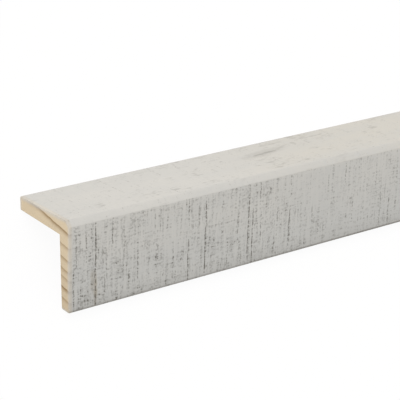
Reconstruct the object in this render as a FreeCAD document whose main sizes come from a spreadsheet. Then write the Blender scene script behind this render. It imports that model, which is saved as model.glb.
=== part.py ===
# Corner guard moulding: one length of softwood trim with an L section, planed square inside,
# rough sawn and whitewashed outside, that is glued or pinned over an outer corner of a wall.
# It lies as it rests by itself: arris up, both toes on the floor, length along X.
import FreeCAD, Part
import math
import os
import Sketcher

LABEL = "corner_moulding"

# Two equal legs at a right angle lie level on their toes, each at half of that angle
LYING_TURN = 45

# The driving sizes, in millimetres, with the one angle in degrees
SIZES = [
    ("stock_length", 2400.0, "length that the trim is sold in"),
    ("leg_width", 33.0, "toe of one leg to the sharp outer corner"),
    ("toe_thickness", 5.0, "thickness of a leg at its toe"),
    ("face_taper", 2.6, "degrees that an outer face leans away from the inner face behind it"),
    ("arris_flat", 2.0, "what the flat on the outer arris takes off each face"),
    ("arris_round", 0.6, "radius on the two edges of that flat"),
    ("outer_toe_round", 0.8, "radius on the toes' outer edges"),
    ("inner_toe_round", 0.4, "radius on the toes' inner edges"),
]

# The section's straight sides, in the order in which they are drawn
REAR_INNER, REAR_TOE, REAR_OUTER, FRONT_OUTER, FRONT_TOE, FRONT_INNER = range(6)
SIDE_START, SIDE_END = 1, 2
SKETCH_ORIGIN = -1

# Ends of an edge that lie nearer than this across the section, in mm, are at one place of it
SAME_PLACE = 1e-6


def fill_sheet(document):
    """Writes the driving sizes to a sheet, one row each: name, value and what it measures."""
    sheet = document.addObject("Spreadsheet::Sheet", "Sizes")
    for row, (alias, value, meaning) in enumerate(SIZES, start=1):
        sheet.set(f"A{row}", alias)
        sheet.set(f"B{row}", str(value))
        sheet.set(f"C{row}", meaning)
        sheet.setAlias(f"B{row}", alias)
    document.recompute()
    return sheet


def origin_plane(body, role):
    """The body's own origin plane that has this role."""
    return next(plane for plane in body.Origin.OriginFeatures if plane.Role == role)


def first_outline(sheet):
    """A rough L near the final section, corner by corner, for the constraints to settle."""
    inner_leg = sheet.leg_width - sheet.toe_thickness
    toe = sheet.toe_thickness
    return [
        FreeCAD.Vector(0, 0, 0),
        FreeCAD.Vector(inner_leg, 0, 0),
        FreeCAD.Vector(inner_leg, toe, 0),
        FreeCAD.Vector(-toe, toe, 0),
        FreeCAD.Vector(-toe, -inner_leg, 0),
        FreeCAD.Vector(0, -inner_leg, 0),
    ]


def draw_section(body, sheet):
    """The L section with its sharp corners: rear leg along +X of the sketch, front leg along -Y."""
    section = body.newObject("Sketcher::SketchObject", "Section")
    section.AttachmentSupport = [(origin_plane(body, "YZ_Plane"), "")]
    section.MapMode = "FlatFace"
    corners = first_outline(sheet)
    for side, corner in enumerate(corners):
        following = corners[(side + 1) % len(corners)]
        section.addGeometry(Part.LineSegment(corner, following), False)

    def constrain(*rule, name=None):
        """Adds one rule to the section; one with a name takes its size from the sheet."""
        number = section.addConstraint(Sketcher.Constraint(*rule))
        if name:
            section.renameConstraint(number, name)
            section.setExpression(f"Constraints.{name}", f"Sizes.{name}")

    for side in range(len(corners)):
        constrain("Coincident", side, SIDE_END, (side + 1) % len(corners), SIDE_START)
    constrain("Coincident", REAR_INNER, SIDE_START, SKETCH_ORIGIN, SIDE_START)
    constrain("Horizontal", REAR_INNER)
    constrain("Vertical", REAR_TOE)
    constrain("Horizontal", FRONT_TOE)
    constrain("Vertical", FRONT_INNER)
    constrain("Equal", REAR_INNER, FRONT_INNER)
    constrain("Equal", REAR_TOE, FRONT_TOE)
    constrain("Equal", REAR_OUTER, FRONT_OUTER)
    constrain("DistanceX", REAR_OUTER, SIDE_END, REAR_TOE, SIDE_START,
              sheet.leg_width, name="leg_width")
    constrain("DistanceY", REAR_TOE, SIDE_START, REAR_TOE, SIDE_END,
              sheet.toe_thickness, name="toe_thickness")
    constrain("Angle", REAR_OUTER, SIDE_END, REAR_INNER, SIDE_START,
              math.radians(sheet.face_taper), name="face_taper")
    measure_inner_leg(section)
    body.Document.recompute()
    return section


def measure_inner_leg(section):
    """Names the width of a leg's inner face, which follows from the other sizes."""
    rule = Sketcher.Constraint("DistanceX", REAR_INNER, SIDE_START, REAR_INNER, SIDE_END,
                               section.Geometry[REAR_INNER].length())
    number = section.addConstraint(rule)
    section.setDriving(number, False)
    section.renameConstraint(number, "inner_leg")


def section_corner(section, side):
    """The place, in the body's own frame, of the corner where this side of the section ends."""
    return section.Placement.multVec(section.Geometry[side].EndPoint)


def long_edge(shape, place):
    """The name of the lengthwise edge that runs nearest to this place of the section."""
    def across(start, end):
        return math.hypot(end.y - start.y, end.z - start.z)

    def gap(number):
        return across(place, shape.Edges[number].CenterOfMass)

    def lengthwise(number):
        start, end = (vertex.Point for vertex in shape.Edges[number].Vertexes)
        return across(start, end) < SAME_PLACE

    nearest = min(filter(lengthwise, range(len(shape.Edges))), key=gap)
    return f"Edge{nearest + 1}"


def cut_to_length(body, section):
    """The section run out to the stock length, half of it to each side of the middle."""
    stock = body.newObject("PartDesign::Pad", "SquareStock")
    stock.Profile = section
    stock.setExpression("Length", "Sizes.stock_length")
    stock.SideType = "Symmetric"
    body.Document.recompute()
    return stock


def flatten_arris(body, stock, section):
    """The flat planed along the sharp outer corner."""
    arris = section_corner(section, REAR_OUTER)
    flat = body.newObject("PartDesign::Chamfer", "ArrisFlat")
    flat.Base = (stock, [long_edge(stock.Shape, arris)])
    flat.setExpression("Size", "Sizes.arris_flat")
    body.Document.recompute()
    return flat


def ease_edges(body, before, name, size, places):
    """The lengthwise edges at these places of the section, rounded to one named radius."""
    eased = body.newObject("PartDesign::Fillet", name)
    eased.Base = (before, [long_edge(before.Shape, place) for place in places])
    eased.setExpression("Radius", f"Sizes.{size}")
    body.Document.recompute()
    return eased


def flat_edge_places(section, sheet):
    """The two edges of the arris flat: as far along each outer face as the flat takes off."""
    arris = section_corner(section, REAR_OUTER)
    toes = [section_corner(section, REAR_TOE), section_corner(section, FRONT_OUTER)]
    return [arris + (toe - arris).normalize() * sheet.arris_flat for toe in toes]


def make_moulding(document, sheet):
    """The whole moulding as one body, laid down on its two toes."""
    body = document.addObject("PartDesign::Body", "CornerMoulding")
    body.Label = LABEL
    section = draw_section(body, sheet)
    stock = cut_to_length(body, section)
    flat = flatten_arris(body, stock, section)
    soft_arris = ease_edges(body, flat, "SoftArris", "arris_round",
                            flat_edge_places(section, sheet))
    outer_toes = [section_corner(section, REAR_TOE), section_corner(section, FRONT_OUTER)]
    soft_toes = ease_edges(body, soft_arris, "SoftOuterToes", "outer_toe_round", outer_toes)
    inner_toes = [section_corner(section, REAR_INNER), section_corner(section, FRONT_TOE)]
    ease_edges(body, soft_toes, "SoftInnerToes", "inner_toe_round", inner_toes)
    lay_down(body)
    return body


def lay_down(body):
    """Turns the section onto its toes and lifts it until their rounded inner edges touch Z = 0."""
    turn = FreeCAD.Rotation(FreeCAD.Vector(-1, 0, 0), LYING_TURN)
    body.Placement = FreeCAD.Placement(FreeCAD.Vector(), turn)
    rounding = "1 mm * Sizes.inner_toe_round"
    drop = f"(Section.Constraints.inner_leg - 2 * {rounding}) * sin({LYING_TURN} deg)"
    body.setExpression("Placement.Base.z", f"{drop} + {rounding}")
    body.Document.recompute()


def check(document, body):
    """Stops before anything is written if a step of the model failed or its solid isn't sound."""
    for thing in document.Objects:
        if "Invalid" in thing.State or "Error" in thing.State:
            raise RuntimeError(f"{thing.Name} failed: {thing.State}")
    shape = body.Shape
    if shape.isNull() or not shape.isValid() or len(shape.Solids) != 1:
        raise RuntimeError(f"{body.Label} isn't one sound solid")


document = FreeCAD.newDocument("CornerGuardMoulding")
sheet = fill_sheet(document)
moulding = make_moulding(document, sheet)
check(document, moulding)
os.makedirs("parts", exist_ok=True)
moulding.Shape.exportStep(f"parts/{moulding.Label}.step")
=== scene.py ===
import math

import bpy
import numpy as np
from mathutils import Euler, Matrix, Vector


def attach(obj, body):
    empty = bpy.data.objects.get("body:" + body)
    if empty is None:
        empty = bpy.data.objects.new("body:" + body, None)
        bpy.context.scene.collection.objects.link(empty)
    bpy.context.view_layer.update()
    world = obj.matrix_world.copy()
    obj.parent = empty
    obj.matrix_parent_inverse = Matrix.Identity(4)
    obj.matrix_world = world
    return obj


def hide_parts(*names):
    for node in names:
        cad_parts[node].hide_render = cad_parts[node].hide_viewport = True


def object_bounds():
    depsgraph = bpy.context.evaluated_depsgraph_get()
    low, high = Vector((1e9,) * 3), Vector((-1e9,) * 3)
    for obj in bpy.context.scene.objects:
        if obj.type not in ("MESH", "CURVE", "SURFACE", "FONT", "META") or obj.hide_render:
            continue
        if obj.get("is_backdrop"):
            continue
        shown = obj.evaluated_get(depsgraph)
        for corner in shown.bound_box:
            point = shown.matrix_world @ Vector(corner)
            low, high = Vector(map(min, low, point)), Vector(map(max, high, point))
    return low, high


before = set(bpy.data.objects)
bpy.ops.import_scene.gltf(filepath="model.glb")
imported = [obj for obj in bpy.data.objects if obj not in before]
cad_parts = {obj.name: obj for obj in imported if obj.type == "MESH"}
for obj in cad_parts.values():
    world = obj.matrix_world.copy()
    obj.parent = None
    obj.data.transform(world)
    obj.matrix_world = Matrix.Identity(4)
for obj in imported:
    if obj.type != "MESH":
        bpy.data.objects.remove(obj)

cad_low, cad_high = (list(corner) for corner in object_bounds())

# Corner moulding.
# One length of softwood, moulded from a single piece to an L with tapering legs. Inside it is planed
# square to sit over a wall corner. Outside it is rough sawn and brushed with a thin off-white wash,
# which stays out of the deepest saw marks, and its two cut ends show the bare end grain.
MM = 0.001
LEG_WIDTH = 33.0 * MM
TOE_THICKNESS = 5.0 * MM
FACE_TAPER = math.radians(2.6)
ARRIS_FLAT = 2.0 * MM
ARRIS_ROUND = 0.6 * MM
OUTER_TOE_ROUND = 0.8 * MM
INNER_TOE_ROUND = 0.4 * MM
LYING_TURN = math.radians(45)
NEAR_END = cad_low[0]
FAR_END = cad_high[0]

# The outer corner is where both tapered faces meet, and the inner faces end at the toes
CORNER_THICKNESS = TOE_THICKNESS + LEG_WIDTH * math.tan(FACE_TAPER)
INNER_LEG = LEG_WIDTH - CORNER_THICKNESS
INNER_CORNER_HEIGHT = (INNER_LEG - 2 * INNER_TOE_ROUND) * math.sin(LYING_TURN) + INNER_TOE_ROUND

# How finely the mesh follows the section: steps along its sides and round its corners
OUTER_FACE_STEPS = 12
FLAT_STEPS = 2
TOE_ROUND_STEPS = 3
ARRIS_ROUND_STEPS = 2


def unit(arrow):
    """The same direction with length one."""
    return arrow / np.linalg.norm(arrow)


def rounded(before, corner, after, radius, steps):
    """Points on the arc that touches both sides of a corner: its centre lies on the bisector,
    radius / sin(half angle) from the corner, and its points go round it by equal angles."""
    to_before = unit(before - corner)
    to_after = unit(after - corner)
    half_angle = math.acos(to_before @ to_after) / 2
    centre = corner + unit(to_before + to_after) * radius / math.sin(half_angle)
    reach = radius / math.tan(half_angle)
    first = unit(corner + to_before * reach - centre)
    last = unit(corner + to_after * reach - centre)
    sweep = math.acos(first @ last)
    share = np.linspace(0, 1, steps + 1)[:, None]
    arms = np.sin((1 - share) * sweep) * first + np.sin(share * sweep) * last
    return centre + radius * arms / math.sin(sweep)


def section_corners():
    """The corners of the L section, anticlockwise from the inner one, each as (back, up) from that
    one, with the corner's name, radius and steps, and the name and steps of the side after it."""
    arris = np.array([-CORNER_THICKNESS, CORNER_THICKNESS])
    rear_toe = np.array([INNER_LEG, TOE_THICKNESS])
    front_toe = np.array([-TOE_THICKNESS, -INNER_LEG])
    flat_rear = arris + unit(rear_toe - arris) * ARRIS_FLAT
    flat_front = arris + unit(front_toe - arris) * ARRIS_FLAT
    return [
        (np.array([0.0, 0.0]), "inner", 0.0, 0, "inner", 1),
        (np.array([INNER_LEG, 0.0]), "inner", INNER_TOE_ROUND, TOE_ROUND_STEPS, "toe", 1),
        (rear_toe, "rear_toe", OUTER_TOE_ROUND, TOE_ROUND_STEPS, "rear", OUTER_FACE_STEPS),
        (flat_rear, "flat", ARRIS_ROUND, ARRIS_ROUND_STEPS, "flat", FLAT_STEPS),
        (flat_front, "flat", ARRIS_ROUND, ARRIS_ROUND_STEPS, "front", OUTER_FACE_STEPS),
        (front_toe, "front_toe", OUTER_TOE_ROUND, TOE_ROUND_STEPS, "toe", 1),
        (np.array([0.0, -INNER_LEG]), "inner", INNER_TOE_ROUND, TOE_ROUND_STEPS, "inner", 1),
    ]


def section_outline():
    """Points all round the section: each corner is rounded, and each side between two corners is cut
    into equal steps. Also returns, for each step, the side or corner that it belongs to."""
    corners = section_corners()
    arcs = []
    for number, (corner, _, radius, steps, _, _) in enumerate(corners):
        before = corners[number - 1][0]
        after = corners[(number + 1) % len(corners)][0]
        arcs.append(rounded(before, corner, after, radius, steps) if radius else corner[None])
    points = []
    names = []
    for number, (_, corner_name, _, round_steps, side_name, side_steps) in enumerate(corners):
        arc = arcs[number]
        following = arcs[(number + 1) % len(arcs)][0]
        share = np.linspace(0, 1, side_steps + 1)[:-1, None]
        points += [arc[:-1], arc[-1] * (1 - share) + following * share]
        names += [corner_name] * round_steps + [side_name] * side_steps
    return np.concatenate(points), np.array(names)


def outward(outline):
    """Directions out of a closed anticlockwise outline: the chord between a point's two
    neighbours, turned a quarter to the right."""
    chord = np.roll(outline, -1, axis=0) - np.roll(outline, 1, axis=0)
    turned = np.stack([chord[:, 1], -chord[:, 0]], axis=1)
    return turned / np.linalg.norm(turned, axis=1, keepdims=True)


# The clearest marks of the saw on the front leg, near the end that the photograph shows:
# distance from that end in mm, where the mark starts and stops from arris (0) to toe (1), and depth
PHOTOGRAPHED_MARKS = [
    (1.6, 0.50, 1.00, 0.70), (2.7, 0.05, 0.60, 0.45), (3.5, 0.80, 0.97, 0.50), (6.4, 0.10, 0.45, 0.60),
    (9.9, 0.00, 0.50, 0.80), (9.9, 0.50, 1.00, 1.00), (13.3, 0.62, 0.95, 0.45), (14.2, 0.35, 0.72, 0.35),
    (16.5, 0.00, 0.30, 0.75), (20.9, 0.12, 0.55, 0.35), (22.9, 0.70, 0.95, 0.40), (25.0, 0.40, 0.50, 0.50),
    (26.4, 0.44, 0.95, 0.70), (28.3, 0.08, 0.45, 0.30), (33.0, 0.10, 0.22, 0.45), (34.0, 0.35, 0.62, 0.35),
    (36.4, 0.70, 0.87, 0.30), (38.0, 0.10, 0.25, 0.50), (40.5, 0.52, 0.75, 0.35), (41.6, 0.80, 0.98, 0.40),
    (46.8, 0.03, 0.25, 0.55), (46.8, 0.48, 1.00, 0.85), (50.9, 0.10, 0.34, 0.50), (51.9, 0.88, 0.97, 0.55),
    (53.8, 0.08, 1.00, 0.90), (57.4, 0.52, 0.72, 0.35), (59.6, 0.84, 0.97, 0.40), (63.4, 0.60, 0.97, 0.45),
    (66.2, 0.08, 0.27, 0.40), (67.6, 0.30, 0.70, 0.50), (69.4, 0.80, 0.97, 0.45), (72.1, 0.00, 0.97, 0.80),
    (74.0, 0.30, 1.00, 0.75), (76.8, 0.00, 0.24, 0.55), (77.6, 0.38, 0.76, 0.55), (80.1, 0.82, 0.94, 0.40),
    (84.8, 0.36, 0.78, 0.35), (90.4, 0.00, 0.12, 0.60), (90.4, 0.38, 0.97, 0.72), (97.5, 0.48, 0.64, 0.35),
    (100.8, 0.52, 0.77, 0.35), (107.6, 0.14, 0.34, 0.35), (115.5, 0.00, 0.26, 0.55),
    (119.9, 0.50, 0.82, 0.50), (126.2, 0.28, 0.46, 0.30), (133.6, 0.60, 0.96, 0.50),
    (137.7, 0.62, 0.98, 0.65), (140.8, 0.26, 0.50, 0.35),
]
PHOTOGRAPHED_LENGTH = 145.0 * MM

# Columns of a list of marks, and the faces that its first column numbers
FACE, PLACE, START, STOP, DEPTH = range(5)
REAR, FRONT = range(2)

# The random marks of each face: where they begin, their mean spacing, and their least and most depth
RANDOM_MARKS = [
    (FRONT, PHOTOGRAPHED_LENGTH, 9.0 * MM, 0.3, 0.95),
    # The rear leg's marks are shallower and sparser, so less painted shade goes into them on the face
    # turned to the lamp
    (REAR, 4.0 * MM, 32.0 * MM, 0.08, 0.3),
]
# Where in its space a random mark lies, and where it starts on the face, cut off at the arris
MARK_PLACES = (0.1, 0.9)
MARK_STARTS = (-0.4, 0.85)
SHORTEST_MARK = 0.12
MARK_LENGTH_SPREAD = 1.1
# Powers of an even draw from 0 to 1, so that most marks come out short and shallow
SHORT_POWER = 1.6
SHALLOW_POWER = 2
chance = np.random.default_rng(33)


def saw_marks():
    """All clear marks of both sawn faces, one row each. Past the photographed ones they are drawn at
    random, one in each even space along the length, most of them short and shallow as there."""
    near = np.array(PHOTOGRAPHED_MARKS)
    near_face = np.full(len(near), FRONT)
    rows = [np.column_stack([near_face, near[:, 0] * MM + NEAR_END, near[:, 1:]])]
    for face, first, spacing, shallowest, deepest in RANDOM_MARKS:
        count = int((FAR_END - NEAR_END - first) / spacing)
        place = NEAR_END + first + (np.arange(count) + chance.uniform(*MARK_PLACES, count)) * spacing
        start = chance.uniform(*MARK_STARTS, count).clip(0, 1)
        length = SHORTEST_MARK + MARK_LENGTH_SPREAD * chance.uniform(0, 1, count) ** SHORT_POWER
        depth = shallowest + (deepest - shallowest) * chance.uniform(0, 1, count) ** SHALLOW_POWER
        stop = (start + length).clip(0, 1)
        rows.append(np.column_stack([np.full(count, face), place, start, stop, depth]))
    marks = np.concatenate(rows)
    return marks[np.argsort(marks[:, PLACE])]


LENGTH_STEP = 2.4 * MM
MARK_HALF_WIDTH = 0.36 * MM
END_EASE = 0.25 * MM
END_EASE_STEPS = 3
# Stations are compared to a tenth of a micron, so that two marks at one place share theirs
STATION_DECIMALS = 7


def length_stations(marks):
    """Places along the length: even steps, three at each clear mark, its middle and both edges, and
    a few round each eased end, at one minus the cosine of equal angles. An even step that falls on
    a mark or on an eased end is left out."""
    even = np.linspace(NEAR_END, FAR_END, round((FAR_END - NEAR_END) / LENGTH_STEP) + 1)
    gap = np.abs(even[:, None] - marks[None, :, PLACE]).min(axis=1)
    from_end = np.minimum(even - NEAR_END, FAR_END - even)
    even = even[(gap > 2 * MARK_HALF_WIDTH) & (from_end > 2 * END_EASE)]
    middle = marks[:, PLACE]
    eased = END_EASE * (1 - np.cos(np.linspace(0, math.pi / 2, END_EASE_STEPS + 1)))
    at_marks = [middle - MARK_HALF_WIDTH, middle, middle + MARK_HALF_WIDTH]
    at_ends = [NEAR_END + eased, FAR_END - eased]
    stations = np.unique(np.concatenate([even] + at_marks + at_ends).round(STATION_DECIMALS))
    return stations[(stations >= NEAR_END) & (stations <= FAR_END)]


# A mark comes and goes over this share of the face. Its depth wavers by a fifth round four fifths of
# it: this many radians across the face, with a phase that turns this many radians in a metre of length
MARK_FADE = 0.1
DEPTH_WAVER = 0.2
WAVER_ACROSS = (9, 25)
WAVER_TURN = 900


def mark_depths(stations, marks, names):
    """Depth of the clear marks, 0 to 1, at each station and outline point: on its own station a mark
    has its full depth between start and stop, less a waver, and there is none on other stations."""
    depths = np.zeros((len(stations), len(names)))
    for face, side in ((REAR, "rear"), (FRONT, "front")):
        on_side = np.flatnonzero((names == side) | (np.roll(names, 1) == side))
        down = np.linspace(0, 1, len(on_side))
        down = down if face == FRONT else 1 - down
        chosen = marks[marks[:, FACE] == face][:, :, None]
        row = np.abs(stations[:, None] - chosen[None, :, PLACE, 0]).argmin(axis=0)
        ease_in = ((down - chosen[:, START]) / MARK_FADE + 0.5).clip(0, 1)
        ease_out = ((chosen[:, STOP] - down) / MARK_FADE + 0.5).clip(0, 1)
        waves = down * chance.uniform(*WAVER_ACROSS, (len(chosen), 1)) + chosen[:, PLACE] * WAVER_TURN
        waver = 1 - DEPTH_WAVER + DEPTH_WAVER * np.sin(waves)
        depth = chosen[:, DEPTH] * ease_in * ease_out * waver
        np.maximum.at(depths, (row[:, None], on_side[None]), depth)
    return depths


# Waves that leave the sawn faces uneven: their lengths, the most that each leans in radians for each
# metre across, and the range that their sum seldom leaves
UNEVEN_WAVES = np.geomspace(7.0, 90.0, 18) * MM
UNEVEN_LEAN = 60
UNEVEN_RANGE = 12


def unevenness(stations, outline):
    """How far the saw left the outer faces low, 0 to 1: a sum of waves along the length, each
    leaning a little across the face, with random phases."""
    total = np.zeros((len(stations), len(outline)))
    across = outline[:, 0] - outline[:, 1]
    for length in UNEVEN_WAVES:
        lean = chance.uniform(-UNEVEN_LEAN, UNEVEN_LEAN)
        phase = chance.uniform(0, 2 * math.pi)
        total += np.sin(stations[:, None] * 2 * math.pi / length + across[None] * lean + phase)
    return (0.5 + total / UNEVEN_RANGE).clip(0, 1)


# The saw's marks stray by up to twice this far, less towards the cut ends over a short reach
WANDER = 0.12 * MM
WANDER_WIDTHS = np.geomspace(6.0, 20.0, 4) * MM
WANDER_LENGTHS = (12, 40)
WANDER_REACH = 2.0 * MM


def wander(stations, outline):
    """How far the saw's marks stray lengthwise: a sum of waves across the faces, whose phases turn
    slowly along the length, none of it at the two cut ends."""
    total = np.zeros((len(stations), len(outline)))
    across = outline[:, 0] - outline[:, 1]
    for width in WANDER_WIDTHS:
        length = chance.uniform(*WANDER_LENGTHS) * MM
        phase = chance.uniform(0, 2 * math.pi)
        total += np.sin(2 * math.pi * (across[None] / width + stations[:, None] / length) + phase)
    from_end = np.minimum(stations - NEAR_END, FAR_END - stations)
    return WANDER / 2 * total * (from_end / WANDER_REACH).clip(0, 1)[:, None]


# How freely the saw marks show through the wash on the front leg, from the photographed end on,
# as (mm, share). Past it the share changes at random from one place to the next.
PHOTOGRAPHED_BARENESS = [
    (0.0, 0.0), (1.0, 0.3), (2.0, 0.68), (16.0, 0.7), (26.0, 0.62), (42.0, 0.62), (50.0, 0.68),
    (60.0, 0.66), (78.0, 0.66), (90.0, 0.6), (105.0, 0.51), (128.0, 0.53), (145.0, 0.54),
]
BARENESS_STEP = 40.0 * MM
BARENESS_BEYOND = (0.2, 0.95)
BARENESS_AT_FAR_END = 0.3
# Low shares on the rear leg and the flat: less painted shade in their marks, as on faces turned up to the
# lamp
REAR_LIT_BARENESS = 0.19
FLAT_LIT_BARENESS = 0.1
# What the share is multiplied by at the front leg's top, and how much that gains down to its toe, as
# painted shade
TOP_FACTOR = 0.9
TOE_GAIN = 0.2


def bareness_and_shade(stations, outline, names):
    """How freely the marks show through the wash, 0 to 1: read off a line through the points of
    the front leg along the length, a little more towards the toe, and little elsewhere. As the marks
    are painted dark as shade, the gain towards the toe and the low shares of the rear leg and the flat
    are painted light too."""
    beyond = np.arange(NEAR_END + PHOTOGRAPHED_LENGTH + BARENESS_STEP, FAR_END, BARENESS_STEP)
    near = np.array(PHOTOGRAPHED_BARENESS)
    drawn = chance.uniform(*BARENESS_BEYOND, len(beyond))
    places = np.concatenate([near[:, 0] * MM + NEAR_END, beyond, [FAR_END]])
    shares = np.concatenate([near[:, 1], drawn, [BARENESS_AT_FAR_END]])
    along = np.interp(stations, places, shares)
    down = TOP_FACTOR + TOE_GAIN * (-outline[:, 1] / INNER_LEG).clip(0, 1)
    on_front = np.isin(names, ["front", "front_toe"])
    bare_and_shaded = np.where(on_front, along[:, None] * down[None], FLAT_LIT_BARENESS)
    return np.where(names == "rear", REAR_LIT_BARENESS, bare_and_shaded)


def laid(back, up):
    """From (back, up) of the section to (Y, Z) of the piece lying on its two toes."""
    y = back * math.cos(LYING_TURN) + up * math.sin(LYING_TURN)
    z = up * math.cos(LYING_TURN) - back * math.sin(LYING_TURN) + INNER_CORNER_HEIGHT
    return y, z


MARK_DEPTH = 0.16 * MM
UNEVENNESS = 0.05 * MM


def sawn_points(stations, outline, names, depth):
    """The outline at every station. Its points are pushed inwards by their marks, and between sawn
    sides by the unevenness. At both ends that fades out, and a quarter round pushes them in:
    radius - sqrt(radius^2 - (radius - distance from the end)^2)."""
    sawn = np.isin(names, ["rear", "front", "flat"])
    sawn_point = sawn & np.roll(sawn, 1)
    from_end = np.minimum(stations - NEAR_END, FAR_END - stations).clip(0, END_EASE)
    eased = END_EASE - np.sqrt(END_EASE ** 2 - (END_EASE - from_end) ** 2)
    rough = MARK_DEPTH * depth + UNEVENNESS * unevenness(stations, outline) * sawn_point
    push = eased[:, None] + rough * (from_end / END_EASE)[:, None]
    place = outline[None] - outward(outline)[None] * push[..., None]
    y, z = laid(place[..., 0], place[..., 1])
    x = stations[:, None] + wander(stations, outline)
    return np.stack([x, y, z], axis=-1)


def skin_faces(rows, around):
    """Four-sided faces between neighbouring rows of points that close round the section, and one
    flat face over each end."""
    row = np.arange(rows - 1)[:, None] * around
    here = np.arange(around)[None]
    beside = (here + 1) % around
    corners = [row + here, row + beside, row + around + beside, row + around + here]
    quads = np.stack(corners, axis=-1).reshape(-1, 4).tolist()
    near_cap = list(range(around))[::-1]
    far_cap = list(range((rows - 1) * around, rows * around))
    return quads + [near_cap, far_cap]


def attribute(mesh, name, domain, values):
    """Keeps one number for each point or face of the mesh, for its material to read."""
    kept = mesh.attributes.new(name, "FLOAT", domain)
    kept.data.foreach_set("value", np.ravel(values).astype(np.float32))


SHARP_EDGE = math.radians(35)


def moulding_mesh():
    """The whole moulding as one closed skin, which keeps for its material where the wash goes, how
    deep the saw marks are, how bare each place is and how much painted shade goes into its marks,
    and where the front toe's edge runs."""
    outline, names = section_outline()
    marks = saw_marks()
    stations = length_stations(marks)
    depth = mark_depths(stations, marks, names)
    points = sawn_points(stations, outline, names, depth)
    mesh = bpy.data.meshes.new("corner_moulding_wood")
    mesh.from_pydata(points.reshape(-1, 3).tolist(), [], skin_faces(len(stations), len(outline)))
    washed = np.tile(names != "inner", len(stations) - 1)
    attribute(mesh, "washed", "FACE", np.concatenate([washed, [False, False]]))
    attribute(mesh, "mark", "POINT", depth)
    attribute(mesh, "bare_and_shaded", "POINT", bareness_and_shade(stations, outline, names))
    attribute(mesh, "toe_edge", "POINT", np.broadcast_to(names == "front_toe", depth.shape))
    mesh.shade_smooth()
    mesh.polygons[-1].use_smooth = False
    mesh.polygons[-2].use_smooth = False
    mesh.set_sharp_from_angle(angle=SHARP_EDGE)
    return mesh


class Maker:
    """Adds nodes to one material. Inputs are sockets or plain values."""

    def __init__(self, material):
        self.tree = material.node_tree

    def add(self, kind, inputs=(), **settings):
        """A new node with these inputs, by name or number, and these settings."""
        node = self.tree.nodes.new("ShaderNode" + kind)
        for name, value in settings.items():
            setattr(node, name, value)
        for key, value in dict(inputs).items():
            if isinstance(value, bpy.types.NodeSocket):
                self.tree.links.new(value, node.inputs[key])
            else:
                node.inputs[key].default_value = value
        return node

    def math(self, operation, first, second=0.0, third=0.0):
        return self.add("Math", {0: first, 1: second, 2: third}, operation=operation).outputs[0]

    def attribute(self, name):
        return self.add("Attribute", attribute_name=name).outputs["Fac"]

    def total(self, first, *others):
        """The first value plus each other value times its share."""
        for value, share in others:
            first = self.math("MULTIPLY_ADD", value, share, third=first)
        return first

    def product(self, first, *others):
        for value in others:
            first = self.math("MULTIPLY", first, value)
        return first

    def least(self, first, *others):
        for value in others:
            first = self.math("MINIMUM", first, value)
        return first

    def most(self, first, *others):
        for value in others:
            first = self.math("MAXIMUM", first, value)
        return first

    def moved(self, vector, by):
        return self.add("VectorMath", {0: vector, 1: by}, operation="ADD").outputs[0]

    def dot(self, vector, direction):
        node = self.add("VectorMath", {0: vector, 1: direction}, operation="DOT_PRODUCT")
        return node.outputs["Value"]

    def stretched(self, vector, scale):
        return self.add("VectorMath", {0: vector, 1: scale}, operation="MULTIPLY").outputs[0]

    def noise(self, vector, fineness, detail=2.0, roughness=0.5):
        """Noise with this many cells to the metre along each direction of the vector."""
        inputs = {"Vector": self.stretched(vector, fineness), "Scale": 1.0, "Detail": detail,
                  "Roughness": roughness}
        return self.add("TexNoise", inputs).outputs[0]

    def ease(self, value, low, high, at_low=0.0, at_high=1.0):
        """Passes smoothly from one level to another while the value goes from low to high."""
        node = self.add("MapRange", {0: value, 1: low, 2: high, 3: at_low, 4: at_high},
                        interpolation_type="SMOOTHSTEP")
        return node.outputs[0]

    def blend(self, share, first, second):
        return self.add("Mix", {0: share, 6: first, 7: second}, data_type="RGBA").outputs[2]


class Spot:
    """Where a point of the moulding is: its place, how far it lies back and down from the inner
    corner, both of them with its place along the length as one vector, and how far it is from the
    near end and from the nearer of the two ends."""

    def __init__(self, make):
        turn = math.sin(LYING_TURN)
        self.place = make.add("TexCoord").outputs["Object"]
        raised = make.moved(self.place, (0.0, 0.0, -INNER_CORNER_HEIGHT))
        along = make.dot(self.place, (1.0, 0.0, 0.0))
        self.back = make.dot(raised, (0.0, turn, -turn))
        self.down = make.dot(raised, (0.0, -turn, -turn))
        self.section = make.add("CombineXYZ", {0: along, 1: self.back, 2: self.down}).outputs[0]
        self.from_near = make.math("SUBTRACT", along, NEAR_END)
        self.from_end = make.least(self.from_near, make.math("SUBTRACT", FAR_END, along))


def colour(red, green, blue):
    """An sRGB colour of 0 to 255 as the linear values that a shader takes."""
    share = np.array([red, green, blue]) / 255
    linear = np.where(share <= 0.04045, share / 12.92, ((share + 0.055) / 1.055) ** 2.4)
    return (*linear.tolist(), 1.0)


EARLY_WOOD = colour(216, 200, 172)
LATE_WOOD = colour(138, 109, 68)

# Where the darkest line of each year lies, in mm from the inner corner down the front leg,
# and how dark it is. A line begins and ends this far above and below, in mm.
YEARS = [
    (-11.9, 0.5), (-7.2, 0.6), (-2.95, 0.95), (2.2, 0.65), (6.8, 0.7),
    (10.8, 0.7), (13.8, 0.55), (17.7, 1.0), (21.8, 0.65), (26.8, 0.6),
]
YEAR_BEGINS = -0.25
YEAR_DARKEST = 0.05
YEAR_ENDS = 2.3
YEARS_FROM = -16.0
YEARS_TO = 32.0

# The lines lean down towards the front, run level further back, and fade towards the rear toe
YEAR_SLOPE = 0.155
YEARS_LEVEL_FROM = 14.0 * MM
YEARS_BEND = 6.0 * MM
YEARS_FADE = (12 * MM, 26 * MM)
FADED_YEARS = 0.3

# They waver over the section and drift along the length, the drift growing over the first half metre
YEAR_WAVER = 0.8 * MM
WAVER_FINENESS = (12.0, 260.0, 260.0)
YEAR_DRIFT = 30.0 * MM
DRIFT_GROWS_OVER = 0.5
DRIFT_FINENESS = (1.6, 12.0, 12.0)


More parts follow.
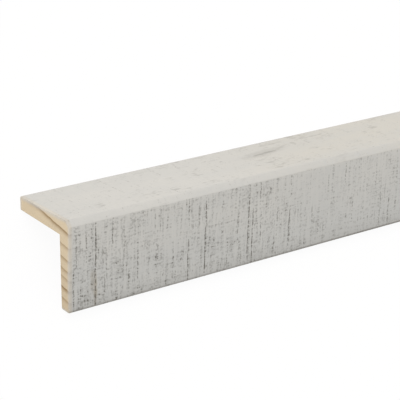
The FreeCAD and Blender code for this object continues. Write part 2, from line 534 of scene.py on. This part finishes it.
def year_lines(make, spot):
    """Darkness of the year lines: each starts at once and fades through the next year, as the
    square of a straight fall, so that its sharp side faces up, away from the pith."""
    drift = make.math("SUBTRACT", make.noise(spot.place, DRIFT_FINENESS), 0.5)
    waver = make.noise(spot.place, WAVER_FINENESS)
    drifting = make.ease(spot.from_near, 0.0, DRIFT_GROWS_OVER, 0.0, YEAR_DRIFT)
    leaning = make.math("SMOOTH_MIN", spot.back, YEARS_LEVEL_FROM, YEARS_BEND)
    depth = make.total(spot.down, (leaning, YEAR_SLOPE), (waver, YEAR_WAVER), (0.5, -YEAR_WAVER))
    depth = make.total(depth, (drift, drifting))
    share = make.add("MapRange", {0: depth, 1: YEARS_FROM * MM, 2: YEARS_TO * MM})
    ramp = make.add("ValToRGB", {0: share.outputs[0]})
    stops = ramp.color_ramp.elements
    for stop, end in zip(stops, (0.0, 1.0)):
        stop.position = end
        stop.color = (0, 0, 0, 1)
    for middle, dark in YEARS:
        for shift, level in ((YEAR_BEGINS, 0.0), (YEAR_DARKEST, math.sqrt(dark)), (YEAR_ENDS, 0.0)):
            stop = stops.new((middle + shift - YEARS_FROM) / (YEARS_TO - YEARS_FROM))
            stop.color = (level, level, level, 1)
    fading = make.ease(spot.back, *YEARS_FADE, 1.0, FADED_YEARS)
    return make.product(make.math("POWER", ramp.outputs[0], 2.0), fading)


# The fibres run along the length. They and the way down the front leg darken the wood a little.
FIBRE_FINENESS = (25.0, 4200.0, 1500.0)
FIBRE_DETAIL = 3.0
FIBRE_ROUGHNESS = 0.6
DARK_FIBRES = (0.35, 0.75)
FIBRE_DARKENS = 0.16
DARKER_DOWN = (2 * MM, 20 * MM)
FRONT_DARKENS = 0.1


def bare_wood(make, spot, fibre):
    """Early wood blended with late wood by the year lines, then by its fibres and the way down."""
    wood = make.blend(year_lines(make, spot), EARLY_WOOD, LATE_WOOD)
    streaks = make.ease(fibre, *DARK_FIBRES, 0.0, FIBRE_DARKENS)
    dark = make.total(streaks, (make.ease(spot.down, *DARKER_DOWN), FRONT_DARKENS))
    return make.blend(dark, wood, LATE_WOOD)


# Patterns of the sawn and washed faces: cells to the metre along, across and up, detail, roughness
SAWN_PATTERNS = {
    "lines": ((1300.0, 90.0, 90.0), 2.0, 0.6),
    "dots": ((1500.0, 1300.0, 1300.0), 3.0, 0.6),
    "strands": ((260.0, 1500.0, 1500.0), 2.0, 0.5),
    "groups": ((90.0, 130.0, 130.0), 2.0, 0.5),
    "clouds": ((30.0, 90.0, 90.0), 3.0, 0.5),
    "mottle": ((600.0, 600.0, 600.0), 3.0, 0.5),
    "ripples": ((330.0, 850.0, 850.0), 3.0, 0.5),
}

# How much of each pattern, of a clear mark and of the place's bareness adds up to the wear, and the
# wear over which a mark comes up faintly and then clearly, with how open it gets
WEAR_SHARES = {"lines": 0.9, "dots": 1.12, "strands": 0.65, "groups": 0.12}
MARK_WEARS = 0.28
BARENESS_WEARS = 0.4
FAINT_WEAR = (1.60, 1.90)
FAINT_OPENING = 0.3
CLEAR_WEAR = (1.80, 2.03)
CLEAR_OPENING = 0.85

# The same for what breaks a clear mark up into dots, then the depths over which a mark opens at all,
# and those over which it goes from its least opening to its most
BREAK_SHARES = {"lines": 0.4, "dots": 4.0, "strands": 1.2}
MARK_HOLDS = 0.6
BROKEN_MARK = (2.76, 3.16)
FIRST_DEPTH = (0.0, 0.15)
FULL_DEPTH = (0.0, 0.8)
SHALLOW_OPENING = 0.4
DEEP_OPENING = 0.94


def shaded_open_marks(make, pattern, bare_and_shaded):
    """How open the wash is, painted dark grey there as shade in the saw grooves and pits: the most of
    faint wear, clear wear, and the clear marks' own dots.
    """
    mark = make.attribute("mark")
    shares = [(pattern[name], share) for name, share in WEAR_SHARES.items()]
    wear = make.total(make.product(mark, MARK_WEARS), *shares, (bare_and_shaded, BARENESS_WEARS))
    faint = make.ease(wear, *FAINT_WEAR, 0.0, FAINT_OPENING)
    clear = make.ease(wear, *CLEAR_WEAR, 0.0, CLEAR_OPENING)
    shares = [(pattern[name], share) for name, share in BREAK_SHARES.items()]
    broken = make.total(make.product(mark, MARK_HOLDS), *shares)
    deep = make.product(make.ease(broken, *BROKEN_MARK), make.ease(mark, *FIRST_DEPTH),
                        make.ease(mark, *FULL_DEPTH, SHALLOW_OPENING, DEEP_OPENING))
    return make.most(faint, clear, deep)


def from_sides(make, spot):
    """Distances of a point of the section from the arris flat and from the nearest washed side.
    Each side is a straight line, and the distance from it is the sum of back and down times its
    inward direction."""
    sine = math.sin(FACE_TAPER)
    cosine = math.cos(FACE_TAPER)
    half_turn = math.sqrt(0.5)
    corner = CORNER_THICKNESS * (cosine - sine)
    front = make.total(corner, (spot.back, cosine), (spot.down, -sine))
    rear = make.total(corner, (spot.down, cosine), (spot.back, -sine))
    flat_depth = ARRIS_FLAT * math.cos(math.pi / 4 - FACE_TAPER)
    flat_away = CORNER_THICKNESS * math.sqrt(2) - flat_depth
    flat = make.total(flat_away, (spot.back, half_turn), (spot.down, half_turn))
    front_toe = make.math("SUBTRACT", INNER_LEG, spot.down)
    rear_toe = make.math("SUBTRACT", INNER_LEG, spot.back)
    return flat, make.least(front, rear, flat, front_toe, rear_toe)


WASH = colour(205, 203.5, 198.5)
WARM_WASH = colour(202, 199, 191)
# The thin wash is also the greyer colour of the painted shade down the front leg and on the flat
THIN_AND_SHADED_WASH = colour(196, 196, 193)
# Grey for the painted shade along the front toe's edge and above it
TOE_SHADE_GREY = colour(150, 148, 143)
RESIN = colour(150, 136, 112)
# Dark grey for the open marks is painted shade in the saw grooves and pits; the scuffs take it too, as
# real dark wear
MARK_SHADE_AND_SCUFF = colour(98, 95, 87)

# On the rear leg and the flat the wash gets warmer over this stretch from the near end, and that
# fades out down past the flat
WARMER_ALONG = (50 * MM, 120 * MM)
WARMER_ABOVE = (-5 * MM, -3.5 * MM)

# What thins and greys the wash and by how much: clouds and mottle, from their low to their high values,
# the bareness of the place, painted shade down the front leg and on the flat, and what thickens it:
# the ridges between saw lines
PATTERN_SPAN = (0.3, 0.7)
CLOUDS_THIN = 0.4
MOTTLE_THINS = 0.25
BARENESS_THINS = 0.15
FRONT_SHADE_DOWN = (-4 * MM, 30 * MM)
FRONT_SHADE = 0.85
RIDGES = (0.5, 0.3)
RIDGES_THICKEN = -0.5
FLAT_DEPTH = (0.0, 1.0 * MM)
FLAT_FRONT_EDGE = (-4.9 * MM, -4.2 * MM)
FLAT_SHADE = 0.3

# The front toe's edge is painted grey as shade, more so over this stretch from the near end, and the face
# above it gets a little painted shade over the last of its way down
TOE_EDGE = (0.8, 1.0)
TOE_SHADE_ALONG = (60 * MM, 130 * MM)
TOE_SHADE_LEAST = 0.7
TOE_SHADE_DOWN = (19 * MM, 27 * MM)
TOE_FACE_SHADE = 0.2


def wash_colour(make, spot, pattern, bare_and_shaded, flat):
    """The colour of the wash: from its own to a thinner, greyer one by the sum of what thins it and of the
    painted shade down the front leg and on the flat, and then to grey along the front toe's edge and a
    little above it, as painted shade. Its own gets warmer along the length."""
    ridges = make.product(make.ease(pattern["lines"], *RIDGES), bare_and_shaded)
    on_flat = make.product(make.ease(flat, *FLAT_DEPTH, 1.0, 0.0),
                           make.ease(spot.down, *FLAT_FRONT_EDGE, 1.0, 0.0))
    thin_and_shaded = make.total(make.ease(pattern["clouds"], *PATTERN_SPAN, 0.0, CLOUDS_THIN),
                      (make.ease(pattern["mottle"], *PATTERN_SPAN), MOTTLE_THINS),
                      (bare_and_shaded, BARENESS_THINS),
                      (make.ease(spot.down, *FRONT_SHADE_DOWN), FRONT_SHADE),
                      (ridges, RIDGES_THICKEN),
                      (on_flat, FLAT_SHADE))
    warmer = make.product(make.ease(spot.from_near, *WARMER_ALONG),
                          make.ease(spot.down, *WARMER_ABOVE, 1.0, 0.0))
    wash = make.blend(thin_and_shaded, make.blend(warmer, WASH, WARM_WASH), THIN_AND_SHADED_WASH)
    # Painted shade: grey along the front toe's edge and a little above it
    toe_shaded = make.ease(spot.from_near, *TOE_SHADE_ALONG, TOE_SHADE_LEAST, 1.0)
    toe_edge = make.ease(make.attribute("toe_edge"), *TOE_EDGE)
    above = make.ease(spot.down, *TOE_SHADE_DOWN, 0.0, TOE_FACE_SHADE)
    return make.blend(make.most(make.product(toe_edge, toe_shaded), above), wash, TOE_SHADE_GREY)


# Where the wash on the rear leg is scuffed: distance from the near end and back from the inner
# corner, reach along and across the face, all in mm, lean of the long way, and how strongly it shows
SCUFFS = [
    (93.6, 15.0, 14.5, 3.8, 0.12, 0.16),
    (94.0, 14.4, 9.0, 1.15, 0.10, 0.42),
    (102.5, 16.4, 6.0, 1.2, 0.40, 0.20),
    (109.8, 18.2, 1.2, 1.8, 0.00, 0.20),
]
# Where resin has come through it on the front leg, with the distance down in place of back
RESIN_SPOTS = [
    (9.9, 20.0, 0.9, 7.5, 0.0, 0.50),
    (9.0, 17.0, 1.5, 6.0, 0.0, 0.28),
]
SPOT_RAGGEDNESS = 1.5


def patches(make, from_near, across, ragged, spots):
    """How strongly these spots show: each is strongest in its middle and falls to 0 on an ellipse
    round it, whose long way leans across the face, made ragged by a fine pattern."""
    shown = []
    for place, middle, long_reach, wide_reach, lean, strength in spots:
        ahead = make.math("SUBTRACT", from_near, place * MM)
        aside = make.total(make.math("SUBTRACT", across, middle * MM), (ahead, -lean))
        ahead = make.math("DIVIDE", ahead, long_reach * MM)
        aside = make.math("DIVIDE", aside, wide_reach * MM)
        square = make.total(make.product(ahead, ahead), (make.product(aside, aside), 1.0),
                            (ragged, SPOT_RAGGEDNESS))
        shown.append(make.ease(square, 0.0, 1.0, strength, 0.0))
    return make.most(*shown)


# Past the photographed length the scuffs are the middles of long cells, this many to the metre
SCUFF_CELLS = (5.0, 50.0, 50.0)
CELL_RAGGEDNESS = 0.06
CELL_MIDDLE = (0.02, 0.13)
CELL_SCUFF = 0.2
CELLS_BEGIN_OVER = 20 * MM

# Smudges come where ripples and their groups are high, on the rear leg most of all
GROUPS_SMUDGE = 0.8
SMUDGES = (0.98, 1.25)
FLAT_TO_REAR = (FLAT_LIT_BARENESS, REAR_LIT_BARENESS)
REAR_TO_FRONT = (REAR_LIT_BARENESS, 0.4)
REAR_SMUDGE = 0.27
OTHER_SMUDGE = 0.1


def scuffs(make, spot, pattern, bare_and_shaded, ragged):
    """How dark the wash is scuffed: the most of the photographed scuffs, the cells' middles past
    them, and the smudges."""
    cells = make.add("TexVoronoi", {"Vector": make.stretched(spot.section, SCUFF_CELLS), "Scale": 1.0})
    near_middle = make.total(cells.outputs["Distance"], (ragged, CELL_RAGGEDNESS))
    beyond = make.ease(spot.from_near, PHOTOGRAPHED_LENGTH, PHOTOGRAPHED_LENGTH + CELLS_BEGIN_OVER)
    far = make.product(make.ease(near_middle, *CELL_MIDDLE, CELL_SCUFF, 0.0), beyond)
    smudged = make.ease(make.total(pattern["ripples"], (pattern["groups"], GROUPS_SMUDGE)), *SMUDGES)
    by_face = make.least(make.ease(bare_and_shaded, *FLAT_TO_REAR, OTHER_SMUDGE, REAR_SMUDGE),
                         make.ease(bare_and_shaded, *REAR_TO_FRONT, REAR_SMUDGE, OTHER_SMUDGE))
    near = patches(make, spot.from_near, spot.back, ragged, SCUFFS)
    return make.most(near, far, make.product(smudged, by_face))


# The wash runs over onto the cut ends and the inner faces, with a border made ragged by clouds and
# mottle, and is worn off along the ends' edges
CLOUDS_BLEED = -1.6 * MM
MOTTLE_BLEEDS = -0.7 * MM
BLEED = (-1.3 * MM, 0.6 * MM)
BLEED_COVERS = 0.75
WORN_END = (0.1 * MM, 1.6 * MM)
WORN_COVERS = 0.55


def wash_cover(make, spot, pattern, outside):
    """How much of the wood the wash covers: all of the washed sides, less near the two ends, and on
    the other faces what has run over, by the distance from the nearest washed side."""
    border = make.total(outside, (pattern["clouds"], CLOUDS_BLEED), (pattern["mottle"], MOTTLE_BLEEDS))
    bleed = make.ease(border, *BLEED, BLEED_COVERS, 0.0)
    worn = make.ease(spot.from_end, *WORN_END, WORN_COVERS, 1.0)
    return make.most(make.product(make.attribute("washed"), worn), bleed)


FIBRE_HEIGHT = 0.3
GRAIN_DEPTH = 0.12 * MM
GRAIN_STRENGTH = 0.5
WOOD_ROUGHNESS = 0.82
WOOD_SPECULAR = 0.25


def moulding_material():
    """The bare softwood, with the wash over it outside and painted shade in its open marks. Fibres stand
    up and open marks lie low.
    """
    material = bpy.data.materials.new("whitewashed_softwood")
    material.use_nodes = True
    material.node_tree.nodes.clear()
    make = Maker(material)
    spot = Spot(make)
    pattern = {name: make.noise(spot.place, *facts) for name, facts in SAWN_PATTERNS.items()}
    fibre = make.noise(spot.section, FIBRE_FINENESS, FIBRE_DETAIL, FIBRE_ROUGHNESS)
    ragged = make.math("SUBTRACT", pattern["mottle"], 0.5)
    bare_and_shaded = make.attribute("bare_and_shaded")
    flat, outside = from_sides(make, spot)
    shaded_marks = shaded_open_marks(make, pattern, bare_and_shaded)

    wash = wash_colour(make, spot, pattern, bare_and_shaded, flat)
    wash = make.blend(patches(make, spot.from_near, spot.down, ragged, RESIN_SPOTS), wash, RESIN)
    # Open marks go dark grey as painted shade, and scuffs darken as real wear
    wash = make.blend(make.most(shaded_marks, scuffs(make, spot, pattern, bare_and_shaded, ragged)), wash, MARK_SHADE_AND_SCUFF)
    surface = make.blend(wash_cover(make, spot, pattern, outside), bare_wood(make, spot, fibre), wash)

    height = make.math("SUBTRACT", make.product(fibre, FIBRE_HEIGHT), shaded_marks)
    bump = make.add("Bump", {"Height": height, "Strength": GRAIN_STRENGTH, "Distance": GRAIN_DEPTH})
    shader = make.add("BsdfPrincipled", {"Base Color": surface, "Roughness": WOOD_ROUGHNESS,
                                         "Specular IOR Level": WOOD_SPECULAR,
                                         "Normal": bump.outputs[0]})
    make.add("OutputMaterial", {"Surface": shader.outputs[0]})
    return material


moulding = bpy.data.objects.new("whitewashed_moulding", moulding_mesh())
bpy.context.scene.collection.objects.link(moulding)
moulding.data.materials.append(moulding_material())
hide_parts("corner_moulding")
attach(moulding, "root")

# Studio floor.
# A plain white floor that the moulding lies on. The camera sees it nearly white all over, and it
# keeps the soft shadow of the piece.
FLOOR_HALF_SIZE = 40.0
FLOOR_WHITE = (0.95, 0.95, 0.95, 1.0)
PLAIN_WHITE = (1.0, 1.0, 1.0, 1.0)
SHADOW_SHARE = 0.06


def seen_directly(make):
    """1 for what the camera, a reflection or clear glass sees, 0 for light that bounces."""
    path = make.add("LightPath")
    names = ("Is Camera Ray", "Is Glossy Ray", "Is Transmission Ray")
    return make.most(*(path.outputs[name] for name in names))


def floor_material():
    """A matt white floor that shows the camera mostly plain white, mixed with its own shading."""
    material = bpy.data.materials.new("studio_floor")
    material.use_nodes = True
    material.node_tree.nodes.clear()
    make = Maker(material)
    matt = make.add("BsdfDiffuse", {"Color": FLOOR_WHITE})
    plain = make.add("Emission", {"Color": PLAIN_WHITE, "Strength": 1.0})
    share = make.product(seen_directly(make), 1 - SHADOW_SHARE)
    mixed = make.add("MixShader", {0: share, 1: matt.outputs[0], 2: plain.outputs[0]})
    make.add("OutputMaterial", {"Surface": mixed.outputs[0]})
    return material


def floor_mesh(reach):
    """A square that reaches this far from the middle, with its face up."""
    mesh = bpy.data.meshes.new("studio_floor")
    corners = [(-reach, -reach, 0), (reach, -reach, 0), (reach, reach, 0), (-reach, reach, 0)]
    mesh.from_pydata(corners, [], [(0, 1, 2, 3)])
    return mesh


floor = bpy.data.objects.new("studio_floor", floor_mesh(FLOOR_HALF_SIZE))
floor.data.materials.append(floor_material())
bpy.context.scene.collection.objects.link(floor)
floor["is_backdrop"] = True

# Studio light.
# An even white sky all round, and one very soft lamp from above and a little behind, so that the
# rear leg is the lighter of the two, as in the photograph.
SKY_LEVEL = 0.64
LAMP_LEVEL = 0.51
LAMP_WARMTH = (1.0, 0.95, 0.9)
LAMP_FROM = Vector((-0.15, 0.17, 0.44))
LAMP_SOFTNESS = math.radians(60)


def studio_sky():
    """A sky that lights the scene at its own level and shows the camera plain white."""
    world = bpy.data.worlds.new("studio_sky")
    world.use_nodes = True
    world.node_tree.nodes.clear()
    make = Maker(world)
    even = make.add("Background", {"Color": PLAIN_WHITE, "Strength": SKY_LEVEL})
    plain = make.add("Background", {"Color": PLAIN_WHITE, "Strength": 1.0})
    mixed = make.add("MixShader", {0: seen_directly(make), 1: even.outputs[0], 2: plain.outputs[0]})
    make.add("OutputWorld", {"Surface": mixed.outputs[0]})
    return world


def soft_lamp():
    """A sun lamp, whose energy is pi times the level at which a face turned to it shows its colour."""
    light = bpy.data.lights.new("soft_lamp", "SUN")
    light.energy = LAMP_LEVEL * math.pi
    light.color = LAMP_WARMTH
    light.angle = LAMP_SOFTNESS
    lamp = bpy.data.objects.new("soft_lamp", light)
    lamp.rotation_mode = "QUATERNION"
    lamp.rotation_quaternion = LAMP_FROM.to_track_quat("Z", "Y")
    return lamp


bpy.context.scene.world = studio_sky()
bpy.context.scene.collection.objects.link(soft_lamp())

# Camera.
# The photograph shows the moulding with its rear leg level and its front leg hanging. Here it lies
# on both toes, so the camera is set up round the pictured piece and then turned over with it.
CAMERA_FROM_INNER_CORNER = Vector((-214.49, -385.96, 181.71)) * MM
CAMERA_HEADING = math.radians(55.04)
CAMERA_DOWN = math.radians(21.086)
CAMERA_LEAN = math.radians(-0.441)
FIELD_OF_VIEW = math.radians(15.505)
CLOSEST_SEEN = 0.01
FURTHEST_SEEN = 200.0

camera_data = bpy.data.cameras.new("photograph_view")
camera_data.angle = FIELD_OF_VIEW
camera_data.clip_start = CLOSEST_SEEN
camera_data.clip_end = FURTHEST_SEEN
camera = bpy.data.objects.new("photograph_view", camera_data)
aimed = Euler((math.pi / 2 - CAMERA_DOWN, 0, CAMERA_HEADING - math.pi / 2), "XYZ").to_matrix()
aimed = aimed @ Matrix.Rotation(-CAMERA_LEAN, 3, "Z")
pictured = Matrix.Translation(CAMERA_FROM_INNER_CORNER) @ aimed.to_4x4()
lying = Matrix.Translation((NEAR_END, 0, INNER_CORNER_HEIGHT)) @ Matrix.Rotation(-LYING_TURN, 4, "X")
camera.matrix_world = lying @ pictured
bpy.context.scene.collection.objects.link(camera)
bpy.context.scene.camera = camera
bpy.context.scene.view_settings.view_transform = "Standard"
